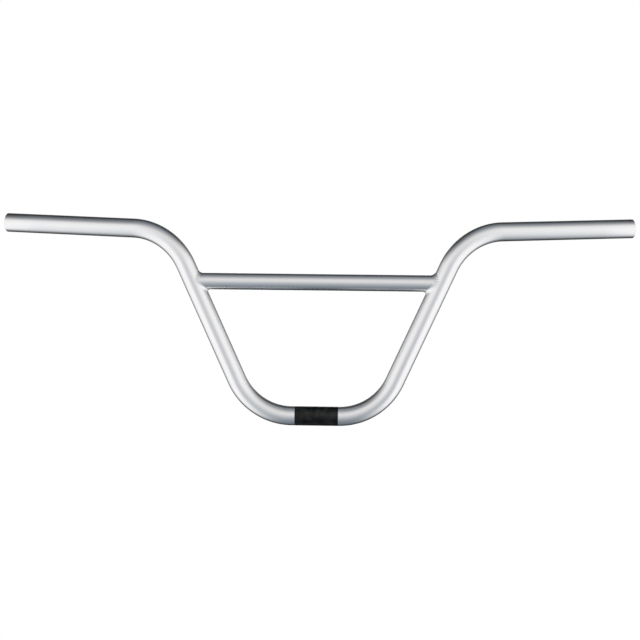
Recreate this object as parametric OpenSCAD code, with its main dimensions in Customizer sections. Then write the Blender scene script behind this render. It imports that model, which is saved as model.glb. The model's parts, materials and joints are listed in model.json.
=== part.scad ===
// BMX handlebar: one bent tube, a straight crossbar and the two welds that join them.
// The origin is the middle of the stem clamp. +X runs along the clamp and +Z is up, with
// the grips swept back towards +Y. Lengths are in millimetres and angles in degrees.

/* [Bent tube] */
// Outside diameter of the bent tube, which suits a standard stem, grips and brake levers
tube_d = 22.2; // [20:0.1:25.4]
// Wall of the tube at the clamp, the risers and the bends
tube_wall = 1.4; // [1.2:0.1:2.2]
// Wall of the thinner, butted tube ends
butt_wall = 1.1; // [0.8:0.1:1.2]
// Length of the taper between the two walls
butt_taper = 40; // [10:1:60]
// Straight tube between the upper bend and the start of the taper
butt_start = 8; // [2:1:20]
// Bevel on the outer rim of each open end
rim_bevel = 0.4; // [0.2:0.1:0.6]

/* [Shape of the bends] */
// Width between the centres of the two open ends
bar_width = 740; // [700:1:780]
// Rise from the clamp to the centres of the open ends
bar_rise = 222; // [205:1:250]
// Straight length of tube at the stem clamp
clamp_straight = 54.6; // [52:0.2:64]
// Angle of the risers above the clamp's axis
riser_angle = 65.6; // [62:0.2:72]
// Radius of the two lower bends, at the middle of the tube
lower_bend_r = 71; // [60:1:76]
// Radius of the two upper bends, at the middle of the tube
upper_bend_r = 71; // [60:1:76]
// Angle by which each grip sweeps back
back_sweep = 11; // [6:0.5:13]
// Angle by which each grip points up
up_sweep = 2; // [0:0.5:4]

/* [Knurled band] */
// Length of the dark knurled band in the stem clamp
knurl_length = 50; // [40:1:52]

/* [Crossbar] */
// Outside diameter of the crossbar
crossbar_d = 19.05; // [16:0.05:19.8]
// Wall of the crossbar
crossbar_wall = 1.1; // [0.9:0.1:1.5]
// Height of the crossbar's axis above the clamp's axis
crossbar_height = 156; // [130:1:162]
// Vent drilled through each riser's wall, inside the mouth of the crossbar
vent_d = 5; // [3:0.5:8]

/* [Welds] */
// Length of each weld's leg, measured from the corner along either tube
weld_leg = 3.6; // [2.5:0.1:4.5]
// How hollow the weld's face is: 0 is flat, and 1 would run into both tubes without a corner
weld_hollow = 0.75; // [0:0.05:0.9]
// Number of ripples round each weld
ripples = 36; // [24:1:44]
// Height of the ripples
ripple_height = 0.22; // [0.05:0.01:0.3]

/* [Hidden] */
$fn = 96;
satin_silver = [0.78, 0.78, 0.79];
knurl_black = [0.1, 0.1, 0.11];

// Half of the clamp, and the directions of the risers and the right grip
clamp_half = clamp_straight / 2;
riser_dir = [cos(riser_angle), 0, sin(riser_angle)];
grip_dir = [cos(back_sweep) * cos(up_sweep), sin(back_sweep), cos(back_sweep) * sin(up_sweep)];

// Bending thins the wall a little, and each straight run laps onto the bends beside it
bend_draw = 0.06;
lap = 0.1;

// Turn of the upper bend, its roll about the riser, and the length of its tangent
upper_turn = acos(riser_dir * grip_dir);
upper_roll = atan2(-sin(back_sweep), -cos(back_sweep) * sin(riser_angle - up_sweep));
upper_tangent = upper_bend_r * tan(upper_turn / 2);

// The straight runs that reach the stated width and rise, from the two equations for x and z
reach_x = bar_width / 2 - clamp_half - lower_bend_r * riser_dir.x * tan(riser_angle / 2)
    - lower_bend_r * tan(riser_angle / 2) - upper_tangent * (riser_dir.x + grip_dir.x);
reach_z = bar_rise - lower_bend_r * riser_dir.z * tan(riser_angle / 2)
    - upper_tangent * (riser_dir.z + grip_dir.z);
run_det = riser_dir.x * grip_dir.z - grip_dir.x * riser_dir.z;
riser_run = (reach_x * grip_dir.z - grip_dir.x * reach_z) / run_det;
grip_run = (riser_dir.x * reach_z - riser_dir.z * reach_x) / run_det;

// Where the right riser's axis meets the crossbar's
joint_x = clamp_half + lower_bend_r * sin(riser_angle)
    + (crossbar_height - lower_bend_r * (1 - cos(riser_angle))) / tan(riser_angle);

// The weld's sections: four to a ripple, with points across the face and along the riser
ripple_steps = 4;
weld_sections = ripples * ripple_steps;
face_steps = 6;
seat_steps = 3;
ripple_bow = 0.5;
// Straight facets touch the round tubes at their middles, so their corners stand a little off
seat_half_turn = weld_leg / seat_steps / tube_d * 180 / PI;
riser_fit_r = tube_d / 2 / cos(seat_half_turn);
crossbar_fit_r = crossbar_d / 2 / cos(180 / weld_sections);

// Section of the bent tube, drawn in by the same amount on both faces of its wall
module tube_section(draw = 0) {
    difference() {
        circle(d = tube_d - 2 * draw);
        circle(d = tube_d - 2 * tube_wall + 2 * draw);
    }
}

// Straight tube from the origin along +Z, lapped onto what it meets at both ends
module straight_run(length) {
    translate([0, 0, -lap])
        linear_extrude(length + 2 * lap) tube_section();
}

// Bent tube from the origin, leaving along +Z and turning towards +X
module bend(radius, turn) {
    translate([radius, 0, 0])
        mirror([1, 0, 0])
            rotate([90, 0, 0])
                rotate_extrude(angle = turn)
                    translate([radius, 0])
                        tube_section(bend_draw);
}

// Moves what follows to the far end of such a bend
module after_bend(radius, turn) {
    translate([radius * (1 - cos(turn)), 0, radius * sin(turn)])
        rotate([0, turn, 0])
            children();
}

// Straight grip tube along +Z, with its butted bore and bevelled rim
module grip_tube() {
    r = tube_d / 2;
    rotate_extrude()
        polygon([
            [r - tube_wall, -lap],
            [r, -lap],
            [r, grip_run - rim_bevel],
            [r - rim_bevel, grip_run],
            [r - butt_wall, grip_run],
            [r - butt_wall, butt_start + butt_taper],
            [r - tube_wall, butt_start],
        ]);
}

// Lower bend, riser, upper bend and grip of the right half, from the end of the clamp
module right_arm() {
    rotate(180, [1, 0, 1])
        translate([0, 0, clamp_half]) {
            bend(lower_bend_r, riser_angle);
            after_bend(lower_bend_r, riser_angle) {
                straight_run(riser_run);
                translate([0, 0, riser_run])
                    rotate([0, 0, upper_roll]) {
                        bend(upper_bend_r, upper_turn);
                        after_bend(upper_bend_r, upper_turn) grip_tube();
                    }
            }
        }
}

// Straight tube in the stem clamp, dark where it is knurled
module clamp_tube() {
    color(satin_silver)
        rotate([0, 90, 0])
            translate([0, 0, -clamp_half])
                straight_run(clamp_straight);
    color(knurl_black)
        rotate([0, 90, 0])
            translate([0, 0, -knurl_length / 2])
                linear_extrude(knurl_length) tube_section();
}

// Places a child at one end of the crossbar, with +Z up the riser's axis
module on_riser(side) {
    mirror([side < 0 ? 1 : 0, 0, 0])
        translate([joint_x, 0, crossbar_height])
            rotate([0, 90 - riser_angle, 0])
                children();
}

// Vent through the riser's wall into the crossbar
module vent(side) {
    on_riser(side)
        rotate([0, riser_angle - 180, 0])
            cylinder(d = vent_d, h = tube_d);
}

module main_tube() {
    difference() {
        union() {
            clamp_tube();
            for (side = [0, 1])
                mirror([side, 0, 0]) right_arm();
        }
        vent(-1);
        vent(1);
    }
}

module crossbar() {
    color(satin_silver)
        difference() {
            translate([0, 0, crossbar_height])
                rotate([0, 90, 0])
                    cylinder(d = crossbar_d, h = 2 * joint_x, center = true);
            translate([0, 0, crossbar_height])
                rotate([0, 90, 0])
                    cylinder(d = crossbar_d - 2 * crossbar_wall, h = 2 * joint_x + 2, center = true);
            for (side = [-1, 1])
                on_riser(side)
                    cylinder(d = tube_d, h = 3 * crossbar_d, center = true);
        }
}

// Corner between the two tubes at an angle round the crossbar, from the top, seen from the joint
function corner(turn) =
    let (y = crossbar_fit_r * sin(turn), z = crossbar_fit_r * cos(turn))
    [(z * cos(riser_angle) - sqrt(pow(riser_fit_r, 2) - y * y)) / sin(riser_angle), y, z];

// The riser's surface laid flat, as distance round it and along it, and back again
function laid_flat(p) =
    [riser_fit_r * asin(p.y / riser_fit_r) * PI / 180, p.x * cos(riser_angle) + p.z * sin(riser_angle)];
function rolled_up(q) =
    let (turn = q[0] / riser_fit_r * 180 / PI, depth = riser_fit_r * cos(turn))
    [
        q[1] * cos(riser_angle) - depth * sin(riser_angle),
        riser_fit_r * sin(turn),
        q[1] * sin(riser_angle) + depth * cos(riser_angle)
    ];

// Point on the riser at a distance out from the corner, square to it
function on_seat(turn, distance) =
    let (
        step = laid_flat(corner(turn + 1)) - laid_flat(corner(turn - 1)),
        out = [-step[1], step[0]] / norm(step)
    )
    rolled_up(laid_flat(corner(turn)) + distance * out);

// Angle at a point between the directions to two others
function angle_at(p, a, b) = acos((a - p) * (b - p) / norm(a - p) / norm(b - p));

// Height of the hollow, rippled face above the line between its toes, a share of the way across
function bead_height(turn, share, dip) =
    let (
        arch = 4 * share * (1 - share),
        wave = (1 + cos(turn * ripples - 360 * ripple_bow * arch)) / 2
    )
    arch * (ripple_height * wave - dip);

// One closed section: across the face from the crossbar's toe, then back down the riser to the corner
function bead_section(turn) =
    let (
        root = corner(turn),
        toe = root - [weld_leg, 0, 0],
        far_toe = on_seat(turn, weld_leg),
        seat = [for (i = [seat_steps - 1 : -1 : 0]) on_seat(turn, weld_leg * i / seat_steps)],
        across = far_toe - toe,
        slope = min(angle_at(toe, root, far_toe), angle_at(far_toe, seat[0], toe)),
        dip = weld_hollow * norm(across) * tan(slope) / 4,
        middle = (toe + far_toe) / 2 - root,
        out = middle / norm(middle)
    )
    concat(
        [for (i = [0 : face_steps])
            toe + across * i / face_steps + out * bead_height(turn, i / face_steps, dip)],
        seat
    );

// Bead of filler metal round the right end of the crossbar
module weld_bead() {
    count = face_steps + 1 + seat_steps;
    points = [for (i = [0 : weld_sections - 1]) each bead_section(i * 360 / weld_sections)];
    faces = [
        for (i = [0 : weld_sections - 1], j = [0 : count - 1])
            let (
                next_i = (i + 1) % weld_sections,
                next_j = (j + 1) % count,
                a = i * count + j,
                b = next_i * count + j,
                c = next_i * count + next_j,
                d = i * count + next_j
            )
            each [[a, b, c], [a, c, d]]
    ];
    translate([joint_x, 0, crossbar_height])
        polyhedron(points, faces);
}

module weld_left() {
    color(satin_silver)
        mirror([1, 0, 0])
            weld_bead();
}

module weld_right() {
    color(satin_silver) weld_bead();
}

main_tube();
crossbar();
weld_left();
weld_right();
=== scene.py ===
# Looks of the BMX handlebar: satin silver tubes, welded crossbar and a black knurled clamp band.
# Everything is in metres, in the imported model's frame: +X right, +Z up, the grips sweep to +Y.
import json
import math

import bpy
from mathutils import Matrix, Vector, noise


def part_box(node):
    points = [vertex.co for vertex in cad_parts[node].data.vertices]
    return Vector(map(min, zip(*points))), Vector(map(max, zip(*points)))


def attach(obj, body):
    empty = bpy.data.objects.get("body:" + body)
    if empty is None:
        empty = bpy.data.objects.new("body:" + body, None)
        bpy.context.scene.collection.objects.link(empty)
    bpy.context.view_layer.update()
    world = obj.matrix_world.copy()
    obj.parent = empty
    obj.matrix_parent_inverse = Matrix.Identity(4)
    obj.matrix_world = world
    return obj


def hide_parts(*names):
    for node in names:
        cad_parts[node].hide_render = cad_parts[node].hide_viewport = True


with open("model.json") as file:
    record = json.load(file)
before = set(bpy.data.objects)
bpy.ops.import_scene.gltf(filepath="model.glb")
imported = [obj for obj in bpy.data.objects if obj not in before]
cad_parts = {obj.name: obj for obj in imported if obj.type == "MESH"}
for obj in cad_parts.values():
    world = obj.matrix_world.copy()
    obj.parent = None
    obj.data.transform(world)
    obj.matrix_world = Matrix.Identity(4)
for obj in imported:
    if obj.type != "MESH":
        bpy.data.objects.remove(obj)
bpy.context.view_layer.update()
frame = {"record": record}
MM = 0.001
MOUNTS = {mount["name"]: mount for mount in frame["record"]["mounts"]}

# Sizes of the bent tube, from its mounts, and the bends that its source gives
TUBE_R = MOUNTS["stem_clamp"]["dims"]["r_mm"] * MM
CLAMP_HALF = MOUNTS["stem_clamp"]["dims"]["length_mm"] * MM / 2
BORE_R = MOUNTS["right_end_bore"]["dims"]["r_mm"] * MM
BORE_RUN = MOUNTS["right_end_bore"]["dims"]["length_mm"] * MM
RIM_BEVEL = 0.4 * MM
GRIP_RUN = MOUNTS["right_grip"]["dims"]["length_mm"] * MM + RIM_BEVEL
GRIP_DIR = Vector(MOUNTS["right_grip"]["axis"]).normalized()
GRIP_START = Vector(MOUNTS["right_grip"]["pos_m"]) - GRIP_DIR * GRIP_RUN / 2
RISER_ANGLE = math.radians(65.6)
BEND_R = 71 * MM
TUBE_WALL = 1.4 * MM
BUTT_TAPER = 40 * MM
RISER_DIR = Vector((math.cos(RISER_ANGLE), 0, math.sin(RISER_ANGLE)))
UPPER_TURN = RISER_DIR.angle(GRIP_DIR)
UPPER_START = GRIP_START - (RISER_DIR + GRIP_DIR) * BEND_R * math.tan(UPPER_TURN / 2)
LOWER_END = Vector((CLAMP_HALF + BEND_R * math.sin(RISER_ANGLE), 0, BEND_R * (1 - math.cos(RISER_ANGLE))))
RISER_RUN = (UPPER_START - LOWER_END).dot(RISER_DIR)

# Crossbar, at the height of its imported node, and where its axis meets the right riser's
CROSSBAR_R = 19.05 * MM / 2
CROSSBAR_WALL = 1.1 * MM
CROSSBAR_Z = sum(corner.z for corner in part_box("crossbar")) / 2
JOINT_X = LOWER_END.x + (CROSSBAR_Z - LOWER_END.z) / math.tan(RISER_ANGLE)

# Welds, sunk a little into both tubes, with toes that wander and swell at each ripple
WELD_LEG = 3.6 * MM
WELD_HOLLOW = 0.75
WELD_SINK = 0.04 * MM
WELD_UNEVEN = 0.06
WELD_SCALLOP = 0.12 * MM
WANDER_SCALE = 1.7
RIPPLES = 36
RIPPLE_HEIGHT = 0.22 * MM
RIPPLE_BOW = math.pi
RIPPLE_DRIFT = 0.5
RIPPLE_SHARPNESS = 1.5

# Where each weld's unevenness is read, and its legs as a share of WELD_LEG, as in the photo
LEFT_WELD = {"seed": 3.0, "size": 0.88}
RIGHT_WELD = {"seed": 8.0, "size": 1.12}

# Knurled band, a little longer than the source's and off centre, as in the photo
KNURL_RUN = 50.5 * MM
KNURL_SHIFT = 1.3 * MM
KNURL_ROWS = 40
KNURL_STARTS = 56
KNURL_HEIGHT = 0.1 * MM
KNURL_SLOPE = 4
KNURL_BASE = 0.01 * MM
KNURL_SINK = 0.08 * MM

# Fineness of the meshes
ROUND = 96
BEND_STEPS = 64
RISER_STEPS = 8
RIM_STEPS = 4
RIPPLE_STEPS = 12
FACE_STEPS = 14
SEAT_SHARES = (1, 0.67, 0.33)
KNURL_STEPS = 6

# The room's light by the sine of the elevation, in its middle and on its side walls. Each stop is that
# sine, a level and a coolness. The light leans, so that it differs with X and Y as well.
MIDDLE_STOPS = (
    (-1, 0.19, 0.14), (-0.8, 0.29, 0.1), (-0.45, 0.4, 0.06), (-0.1, 0.57, 0.01), (0.2, 0.65, -0.02),
    (0.45, 0.64, -0.02), (0.7, 0.46, 0.02), (0.9, 0.26, 0.07), (1, 0.2, 0.12),
)
WALL_STOPS = (
    (-1, 0.78, 0.03), (-0.8, 0.92, 0), (-0.45, 0.88, 0), (-0.1, 0.86, 0), (0.2, 0.79, 0),
    (0.45, 0.74, 0), (0.7, 0.33, 0.02), (0.9, 0.08, 0.05), (1, 0.08, 0.1),
)
LEAN_ACROSS = 0.11
LEAN_BEHIND = 0.18
ROOM_STRENGTH = 1.25

# Parts of a direction between which the room changes: from its middle to the walls by the size of X, to
# black far behind, back to lit straight behind by Y, and to the white that metal sees by Y and the size of Z
WALLS_SPAN = (0.22, 0.62)
DARK_SPAN = (0, 0.65)
LIT_BEHIND_SPAN = (0.92, 0.7)
WHITE_BEHIND_SPAN = (0.85, 0.97)
WHITE_LEVEL_SPAN = (0.2, 0.08)

# How much of the sides the dark zone spares at the horizon, and how much less with steepness and height
SPARED_SIDES = 0.55
SPARED_LESS_STEEP = 0.7
SPARED_LESS_HIGH = 0.15

# A noise texture mostly lies between these values
NOISE_LOW = 0.3
NOISE_HIGH = 0.7

UP = Vector((0, 0, 1))
BLACK = (0, 0, 0, 1)
WHITE = (1, 1, 1, 1)


def mesh_object(name, verts, faces, sharp_degrees=35):
    """A smooth-shaded mesh object with sharp edges only where its faces turn by more than an angle."""
    mesh = bpy.data.meshes.new(name)
    mesh.from_pydata([tuple(v) for v in verts], [], faces)
    mesh.validate()
    mesh.shade_smooth()
    mesh.set_sharp_from_angle(angle=math.radians(sharp_degrees))
    obj = bpy.data.objects.new(name, mesh)
    bpy.context.scene.collection.objects.link(obj)
    return obj


def loft(rings):
    """Vertices of rings of equal length, and the faces between them in order, from last back to first."""
    count = len(rings[0])
    verts = [v for ring in rings for v in ring]
    faces = []
    for i in range(len(rings)):
        a, b = i * count, (i + 1) % len(rings) * count
        for j in range(count):
            k = (j + 1) % count
            faces.append((a + j, a + k, b + k, b + j))
    return verts, faces


def mirrored(rings, side):
    """The same rings for side 1, or their mirror image to the left for side -1."""
    return [[Vector((v.x * side, v.y, v.z)) for v in ring] for ring in rings]


def arc(start, heading, towards, turn):
    """Points and headings along a bend, without its first point."""
    out = []
    for i in range(1, BEND_STEPS + 1):
        t = turn * i / BEND_STEPS
        point = start + heading * BEND_R * math.sin(t) + towards * BEND_R * (1 - math.cos(t))
        out.append((point, heading * math.cos(t) + towards * math.sin(t)))
    return out


def right_path():
    """Points and headings along the tube's axis, from the clamp's middle to the end of the upper bend."""
    path = [(Vector((0, 0, 0)), Vector((1, 0, 0))), (Vector((CLAMP_HALF, 0, 0)), Vector((1, 0, 0)))]
    path += arc(path[-1][0], path[-1][1], UP, RISER_ANGLE)
    for i in range(1, RISER_STEPS + 1):
        path.append((LOWER_END + RISER_DIR * RISER_RUN * i / RISER_STEPS, RISER_DIR))
    inward = (GRIP_DIR - RISER_DIR * RISER_DIR.dot(GRIP_DIR)).normalized()
    path += arc(UPPER_START, RISER_DIR, inward, UPPER_TURN)
    return path


def transported(path):
    """Each point of a path with a side vector that turns as little as it can."""
    side = Vector((0, -1, 0))
    out = []
    for point, heading in path:
        side = (side - heading * side.dot(heading)).normalized()
        out.append((point, heading, side))
    return out


def ring_at(point, heading, side, radius):
    """A circle round a heading; side fixes where it starts."""
    side = (side - heading * side.dot(heading)).normalized()
    other = heading.cross(side)
    out = []
    for j in range(ROUND):
        a = 2 * math.pi * j / ROUND
        out.append(point + (side * math.cos(a) + other * math.sin(a)) * radius)
    return out


def rim_points(radius, size, outward):
    """Radius and distance of a rounded rim at the open end; outward is 1 outside and -1 in the bore."""
    out = []
    for i in range(RIM_STEPS + 1):
        a = math.pi / 2 * i / RIM_STEPS
        out.append((radius - outward * size * (1 - math.cos(a)), GRIP_RUN - size * (1 - math.sin(a))))
    return out


def main_tube():
    """The bent tube as one closed mesh, with the first of its bore's faces and the one after the last."""
    stations = transported(right_path())
    bend_end, heading, side = stations[-1]
    taper_end = GRIP_RUN - BORE_RUN

    def on_grip(profile):
        """Stations on the straight grip, from radii and distances past the upper bend."""
        return [(bend_end + heading * z, heading, side, r) for r, z in profile]

    outer = [(p, h, s, TUBE_R) for p, h, s in stations]
    outer += on_grip([(TUBE_R, GRIP_RUN * quarter / 4) for quarter in (1, 2, 3)])
    outer += on_grip(rim_points(TUBE_R, RIM_BEVEL, 1))
    bore = on_grip(reversed(rim_points(BORE_R, RIM_BEVEL / 2, -1)))
    bore += on_grip([(BORE_R, taper_end), (TUBE_R - TUBE_WALL, taper_end - BUTT_TAPER)])
    bore += [(p, h, s, TUBE_R - TUBE_WALL) for p, h, s in reversed(stations)]
    right = [ring_at(p, h, s, r) for p, h, s, r in outer + bore]
    left = mirrored(right, -1)
    split = len(outer)
    rings = left[:split][::-1] + right[1:-1] + left[split:][::-1]
    # The outside takes the first 2 * split - 1 rings, and a rim follows it and ends the list
    first_bore_face = (2 * split - 1 + RIM_STEPS) * ROUND
    past_bore_face = (len(rings) - 1 - RIM_STEPS) * ROUND
    return mesh_object("bent_tube", *loft(rings)), first_bore_face, past_bore_face


def saddle(turn, crossbar_r, riser_r):
    """Corner between crossbar and right riser, from the joint; turn runs round the crossbar from its top."""
    y = crossbar_r * math.sin(turn)
    z = crossbar_r * math.cos(turn)
    x = (z * math.cos(RISER_ANGLE) - math.sqrt(riser_r ** 2 - y ** 2)) / math.sin(RISER_ANGLE)
    return Vector((x, y, z))


def crossbar():
    """The mitred crossbar with its bore, as one closed mesh."""
    joint = Vector((JOINT_X, 0, CROSSBAR_Z))
    rings = []
    for radius, sides in ((CROSSBAR_R, (-1, -0.5, 0, 0.5, 1)), (CROSSBAR_R - CROSSBAR_WALL, (1, 0, -1))):
        for share in sides:
            ring = []
            for j in range(ROUND):
                end = joint + saddle(2 * math.pi * j / ROUND, radius, TUBE_R)
                ring.append(Vector((end.x * share, end.y, end.z)))
            rings.append(ring)
    return mesh_object("crossbar_tube", *loft(rings))


def laid_flat(p, riser_r):
    """A point on the riser's surface, as distance round it and along it."""
    return (riser_r * math.asin(p.y / riser_r), p.x * math.cos(RISER_ANGLE) + p.z * math.sin(RISER_ANGLE))


def rolled_up(q, riser_r):
    """Back from laid_flat."""
    turn = q[0] / riser_r
    depth = riser_r * math.cos(turn)
    return Vector((q[1] * math.cos(RISER_ANGLE) - depth * math.sin(RISER_ANGLE), riser_r * math.sin(turn),
                   q[1] * math.sin(RISER_ANGLE) + depth * math.cos(RISER_ANGLE)))


def weld_rings(seed, size):
    """Sections of the bead round the right joint: across its rippled face, then back along the riser."""
    steps_round = RIPPLES * RIPPLE_STEPS
    nudge = 0.01
    crossbar_r, riser_r = CROSSBAR_R - WELD_SINK, TUBE_R - WELD_SINK
    wander = Vector((seed, 0, 0))
    rings = []
    for i in range(steps_round):
        turn = 2 * math.pi * i / steps_round
        root = saddle(turn, crossbar_r, riser_r)
        before = laid_flat(saddle(turn - nudge, crossbar_r, riser_r), riser_r)
        after = laid_flat(saddle(turn + nudge, crossbar_r, riser_r), riser_r)
        step = Vector((after[0] - before[0], after[1] - before[1])).normalized()
        flat = laid_flat(root, riser_r)
        uneven = noise.noise(wander + Vector((math.cos(turn), math.sin(turn), 0)) * WANDER_SCALE)
        scallop = 0.5 + 0.5 * math.cos(turn * RIPPLES)
        leg = WELD_LEG * size * (1 + WELD_UNEVEN * uneven) + WELD_SCALLOP * scallop
        toe = root - Vector((leg, 0, 0))
        seat = []
        for k in SEAT_SHARES:
            seat.append(rolled_up((flat[0] - step.y * leg * k, flat[1] + step.x * leg * k), riser_r))
        across = seat[0] - toe
        slope = min(across.angle(root - toe), across.angle(seat[0] - seat[1]))
        dip = WELD_HOLLOW * across.length * math.tan(slope) / 4
        middle = (toe + seat[0]) / 2 - root
        out = middle.normalized()
        ring = []
        for j in range(FACE_STEPS + 1):
            share = j / FACE_STEPS
            arch = 4 * share * (1 - share)
            phase = turn * RIPPLES - RIPPLE_BOW * arch + RIPPLE_DRIFT * uneven
            wave = (0.5 + 0.5 * math.cos(phase)) ** RIPPLE_SHARPNESS
            height = arch * (RIPPLE_HEIGHT * wave - dip)
            ring.append(toe.lerp(seat[0], share) + out * height)
        ring += seat[1:] + [root]
        rings.append(ring)
    return rings


def weld(side, seed, size):
    """One weld bead; side is -1 on the left and 1 on the right, and its legs are a share of WELD_LEG."""
    joint = Vector((JOINT_X, 0, CROSSBAR_Z))
    rings = [[joint + v for v in ring] for ring in weld_rings(seed, size)]
    if side > 0:
        rings = [ring[::-1] for ring in rings]
    name = "weld_bead_left" if side < 0 else "weld_bead_right"
    return mesh_object(name, *loft(mirrored(rings, side)), sharp_degrees=60)


def knurl_height(along, around):
    """Height of a diamond knurl, flat on its crests, at a place counted in rows and starts."""
    first = abs((along + around) % 1 - 0.5) * 2
    second = abs((along - around) % 1 - 0.5) * 2
    return min(1, KNURL_SLOPE * min(first, second))


def ring_about_clamp(x, radii):
    """A ring about the clamp's axis, with a radius for each of its points."""
    out = []
    for j, r in enumerate(radii):
        a = 2 * math.pi * j / len(radii)
        out.append(Vector((x, r * math.cos(a), r * math.sin(a))))
    return out


def knurl_band():
    """The knurled band: crossing rows of small diamonds on the tube, closed by a ring sunk in its wall."""
    columns = KNURL_STARTS * KNURL_STEPS
    rows = KNURL_ROWS * KNURL_STEPS
    rings = []
    for i in range(rows + 1):
        fade = min(1, i / KNURL_STEPS, (rows - i) / KNURL_STEPS)
        radii = []
        for j in range(columns):
            height = KNURL_HEIGHT * knurl_height(i / KNURL_STEPS, j / KNURL_STEPS) * fade
            radii.append(TUBE_R + KNURL_BASE + height)
        rings.append(ring_about_clamp(KNURL_SHIFT + KNURL_RUN * (i / rows - 0.5), radii))
    for x in (KNURL_SHIFT + KNURL_RUN / 2, KNURL_SHIFT - KNURL_RUN / 2):
        rings.append(ring_about_clamp(x, [TUBE_R - KNURL_SINK] * columns))
    verts, faces = loft(rings)
    obj = mesh_object("knurled_band", verts, faces, sharp_degrees=25)
    crest = obj.data.attributes.new("crest", "FLOAT", "POINT")
    values = []
    for v in verts:
        values.append(min(1, max(0, (math.hypot(v.y, v.z) - TUBE_R) / KNURL_HEIGHT)))
    crest.data.foreach_set("value", values)
    return obj


def node_of(tree, kind, **inputs):
    """A new node with some of its inputs set by name."""
    node = tree.nodes.new(kind)
    for name, value in inputs.items():
        node.inputs[name.replace("_", " ")].default_value = value
    return node


def math_node(tree, operation, first, second):
    """A Math node's result; each operand is a number or another node's output."""
    node = tree.nodes.new("ShaderNodeMath")
    node.operation = operation
    for socket, operand in zip(node.inputs, (first, second)):
        if isinstance(operand, (int, float)):
            socket.default_value = operand
        else:
            tree.links.new(operand, socket)
    return node.outputs["Value"]


def mapped(tree, source, low, high, to_low=0, to_high=1):
    """A value that goes from to_low to to_high as its source goes from low to high, up or down."""
    node = node_of(tree, "ShaderNodeMapRange", From_Min=low, From_Max=high, To_Min=to_low, To_Max=to_high)
    tree.links.new(source, node.inputs["Value"])
    return node.outputs["Result"]


def mixed(tree, share, first, second):
    """A colour between two others."""
    node = tree.nodes.new("ShaderNodeMix")
    node.data_type = "RGBA"
    for socket, operand in ((node.inputs[0], share), (node.inputs[6], first), (node.inputs[7], second)):
        if isinstance(operand, tuple):
            socket.default_value = operand
        else:
            tree.links.new(operand, socket)
    return node.outputs[2]


def cloud(tree, scale, detail):
    """Noise in object space."""
    place = tree.nodes.new("ShaderNodeTexCoord")
    node = node_of(tree, "ShaderNodeTexNoise", Scale=scale, Detail=detail)
    tree.links.new(place.outputs["Object"], node.inputs["Vector"])
    return node.outputs["Fac"]


def cloud_between(tree, scale, detail, low, high):
    """Noise in object space, stretched to a range."""
    return mapped(tree, cloud(tree, scale, detail), NOISE_LOW, NOISE_HIGH, low, high)


def surface(name, colour, roughness, edge, metallic=1.0, specular=0.5):
    """A new material and its shader, with its even values on the shader's own sockets."""
    material = bpy.data.materials.new(name)
    material.use_nodes = True
    shader = material.node_tree.nodes["Principled BSDF"]
    shader.inputs["Base Color"].default_value = (*colour, 1)
    shader.inputs["Metallic"].default_value = metallic
    shader.inputs["Roughness"].default_value = roughness
    shader.inputs["Specular IOR Level"].default_value = specular
    shader.inputs["Specular Tint"].default_value = (*edge, 1)
    return material, shader


def satin_silver():
    """Satin silver finish: fine grain, faint clouding of the gloss and an even, slightly cool colour."""
    material, shader = surface("satin_silver", (0.898, 0.896, 0.908), 0.28, edge=(0.05, 0.055, 0.06))
    tree = material.node_tree
    gloss = cloud_between(tree, scale=45, detail=3, low=0.26, high=0.3)
    tree.links.new(gloss, shader.inputs["Roughness"])
    grain = node_of(tree, "ShaderNodeBump", Strength=0.12, Distance=0.03 * MM)
    tree.links.new(cloud(tree, scale=3200, detail=2), grain.inputs["Height"])
    tree.links.new(grain.outputs["Normal"], shader.inputs["Normal"])
    return material


def bore_steel():
    """Bare steel inside the tube, dull and with an uneven gloss."""
    material, shader = surface("bore_steel", (0.34, 0.33, 0.32), 0.5, edge=(0.5, 0.5, 0.5))
    tree = material.node_tree
    gloss = cloud_between(tree, scale=160, detail=4, low=0.42, high=0.62)
    tree.links.new(gloss, shader.inputs["Roughness"])
    return material


def knurl_black():
    """Black coating on the knurl, rubbed paler in patches on the crests."""
    material, shader = surface(
        "knurl_black", (0.002, 0.002, 0.002), 0.17, edge=(1, 1, 1), metallic=0.0, specular=0.3)
    tree = material.node_tree
    crest = tree.nodes.new("ShaderNodeAttribute")
    crest.attribute_name = "crest"
    rubbed = cloud_between(tree, scale=140, detail=4, low=0, high=1)
    wear = math_node(tree, "MULTIPLY", crest.outputs["Fac"], rubbed)
    ramp = tree.nodes.new("ShaderNodeValToRGB")
    for element, (place, grey) in zip(ramp.color_ramp.elements, ((0.2, 0.0005), (1.0, 0.025))):
        element.position = place
        element.color = (grey, grey, grey, 1)
    tree.links.new(wear, ramp.inputs["Fac"])
    tree.links.new(ramp.outputs["Color"], shader.inputs["Base Color"])
    gloss = cloud_between(tree, scale=300, detail=4, low=0.06, high=0.28)
    tree.links.new(gloss, shader.inputs["Roughness"])
    return material


def dress():
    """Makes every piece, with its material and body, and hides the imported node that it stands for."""
    silver, steel, black = satin_silver(), bore_steel(), knurl_black()
    tube, first_bore_face, past_bore_face = main_tube()
    tube.data.materials.append(silver)
    tube.data.materials.append(steel)
    for polygon in tube.data.polygons[first_bore_face:past_bore_face]:
        polygon.material_index = 1
    bar = crossbar()
    left, right = weld(-1, **LEFT_WELD), weld(1, **RIGHT_WELD)
    for piece in (bar, left, right):
        piece.data.materials.append(silver)
    band = knurl_band()
    band.data.materials.append(black)
    for piece, node in ((tube, "main_tube"), (bar, "crossbar"), (left, "weld_left"), (right, "weld_right")):
        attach(piece, "root")
        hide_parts(node)
    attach(band, "root")


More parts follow.
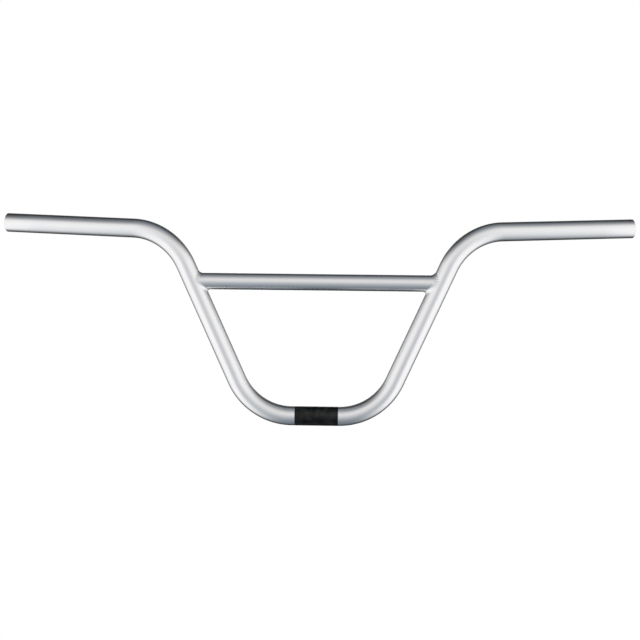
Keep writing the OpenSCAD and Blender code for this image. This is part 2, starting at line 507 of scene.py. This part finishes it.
def sky_ramp(tree, height, stops):
    """Colour by the sine of the elevation."""
    ramp = tree.nodes.new("ShaderNodeValToRGB")
    elements = ramp.color_ramp.elements
    while len(elements) < len(stops):
        elements.new(0.5)
    for element, (sine, level, cool) in zip(elements, stops):
        element.position = (sine + 1) / 2
        element.color = (level * (1 - cool), level, level * (1 + cool), 1)
    tree.links.new(mapped(tree, height, -1, 1), ramp.inputs["Fac"])
    return ramp.outputs["Color"]


def room_colour(tree, across, behind, height):
    """Bright walls left and right, a dimmer middle and ceiling, and a dark zone obliquely behind."""
    leaning = math_node(tree, "SUBTRACT", height, math_node(tree, "MULTIPLY", across, LEAN_ACROSS))
    leaning = math_node(tree, "ADD", leaning, math_node(tree, "MULTIPLY", behind, LEAN_BEHIND))
    middle = sky_ramp(tree, leaning, MIDDLE_STOPS)
    walls = sky_ramp(tree, leaning, WALL_STOPS)
    steep = math_node(tree, "ABSOLUTE", height, 0)
    wide = math_node(tree, "ABSOLUTE", across, 0)
    room = mixed(tree, mapped(tree, wide, *WALLS_SPAN), middle, walls)
    spared = math_node(tree, "SUBTRACT", SPARED_SIDES, math_node(tree, "MULTIPLY", steep, SPARED_LESS_STEEP))
    spared = math_node(tree, "SUBTRACT", spared, math_node(tree, "MULTIPLY", height, SPARED_LESS_HIGH))
    far = math_node(tree, "SUBTRACT", behind, math_node(tree, "MULTIPLY", wide, spared))
    unlit = mapped(tree, behind, *LIT_BEHIND_SPAN)
    dark = math_node(tree, "MULTIPLY", mapped(tree, far, *DARK_SPAN), unlit)
    return mixed(tree, dark, room, BLACK)


def studio():
    """The room as the world. Cameras see plain white there, and metal sees that only straight behind."""
    world = bpy.data.worlds.new("studio")
    bpy.context.scene.world = world
    world.use_nodes = True
    tree = world.node_tree
    tree.nodes.clear()
    place = tree.nodes.new("ShaderNodeTexCoord")
    parts = tree.nodes.new("ShaderNodeSeparateXYZ")
    tree.links.new(place.outputs["Generated"], parts.inputs["Vector"])
    across, behind, height = (parts.outputs[axis] for axis in "XYZ")
    light = node_of(tree, "ShaderNodeBackground", Strength=ROOM_STRENGTH)
    tree.links.new(room_colour(tree, across, behind, height), light.inputs["Color"])
    white = node_of(tree, "ShaderNodeBackground", Color=WHITE, Strength=1)
    path = tree.nodes.new("ShaderNodeLightPath")
    steep = math_node(tree, "ABSOLUTE", height, 0)
    low_down = mapped(tree, steep, *WHITE_LEVEL_SPAN)
    backdrop = math_node(tree, "MULTIPLY", mapped(tree, behind, *WHITE_BEHIND_SPAN), low_down)
    seen_in_gloss = math_node(tree, "ADD", path.outputs["Is Glossy Ray"], path.outputs["Is Transmission Ray"])
    gloss_share = math_node(tree, "MULTIPLY", seen_in_gloss, backdrop)
    mix = tree.nodes.new("ShaderNodeMixShader")
    tree.links.new(math_node(tree, "MAXIMUM", path.outputs["Is Camera Ray"], gloss_share), mix.inputs["Fac"])
    tree.links.new(light.outputs["Background"], mix.inputs[1])
    tree.links.new(white.outputs["Background"], mix.inputs[2])
    output = tree.nodes.new("ShaderNodeOutputWorld")
    tree.links.new(mix.outputs["Shader"], output.inputs["Surface"])


def overhead_sun():
    """A soft sun that gives the floor its shadow; the metal doesn't mirror it."""
    sun = bpy.data.lights.new("overhead", "SUN")
    sun.energy = 1.2
    sun.angle = math.radians(5)
    overhead = bpy.data.objects.new("overhead", sun)
    overhead.rotation_euler = (math.radians(12), math.radians(-10), 0)
    overhead.visible_glossy = False
    bpy.context.scene.collection.objects.link(overhead)


def pale_floor():
    """A pale floor well below the bar, whose clamp is held up; the camera sees it white with a shadow."""
    half_width = 40
    drop = 0.45
    glow = 0.38
    corners = [(x * half_width, y * half_width, -drop) for x, y in ((-1, -1), (1, -1), (1, 1), (-1, 1))]
    floor = mesh_object("floor", corners, [(0, 1, 2, 3)])
    floor.visible_glossy = False
    material = bpy.data.materials.new("pale_floor")
    material.use_nodes = True
    tree = material.node_tree
    shader = tree.nodes["Principled BSDF"]
    shader.inputs["Base Color"].default_value = (0.8, 0.8, 0.8, 1)
    shader.inputs["Roughness"].default_value = 0.9
    shader.inputs["Specular IOR Level"].default_value = 0
    path = tree.nodes.new("ShaderNodeLightPath")
    tree.links.new(path.outputs["Is Camera Ray"], shader.inputs["Emission Strength"])
    shader.inputs["Emission Color"].default_value = (glow, glow, glow, 1)
    floor.data.materials.append(material)


def camera():
    """The photograph's view: a short telephoto lens a little above the crossbar."""
    frame_px = 640
    focal_px = 1295.14
    yaw, pitch, roll = (math.radians(a) for a in (1.5094, -3.5054, -0.604))
    place = Vector((0.0438, -1.5, 0.2042))
    data = bpy.data.cameras.new("camera")
    data.sensor_width = 36
    data.lens = data.sensor_width * focal_px / frame_px
    data.clip_start = 0.05
    obj = bpy.data.objects.new("camera", data)
    turn = Matrix.Rotation(yaw, 4, "Z") @ Matrix.Rotation(pitch, 4, "X") @ Matrix.Rotation(roll, 4, "Y")
    obj.matrix_world = Matrix.Translation(place) @ turn @ Matrix.Rotation(math.pi / 2, 4, "X")
    bpy.context.scene.collection.objects.link(obj)
    bpy.context.scene.camera = obj


dress()
studio()
overhead_sun()
pale_floor()
camera()
bpy.context.scene.view_settings.view_transform = "Standard"
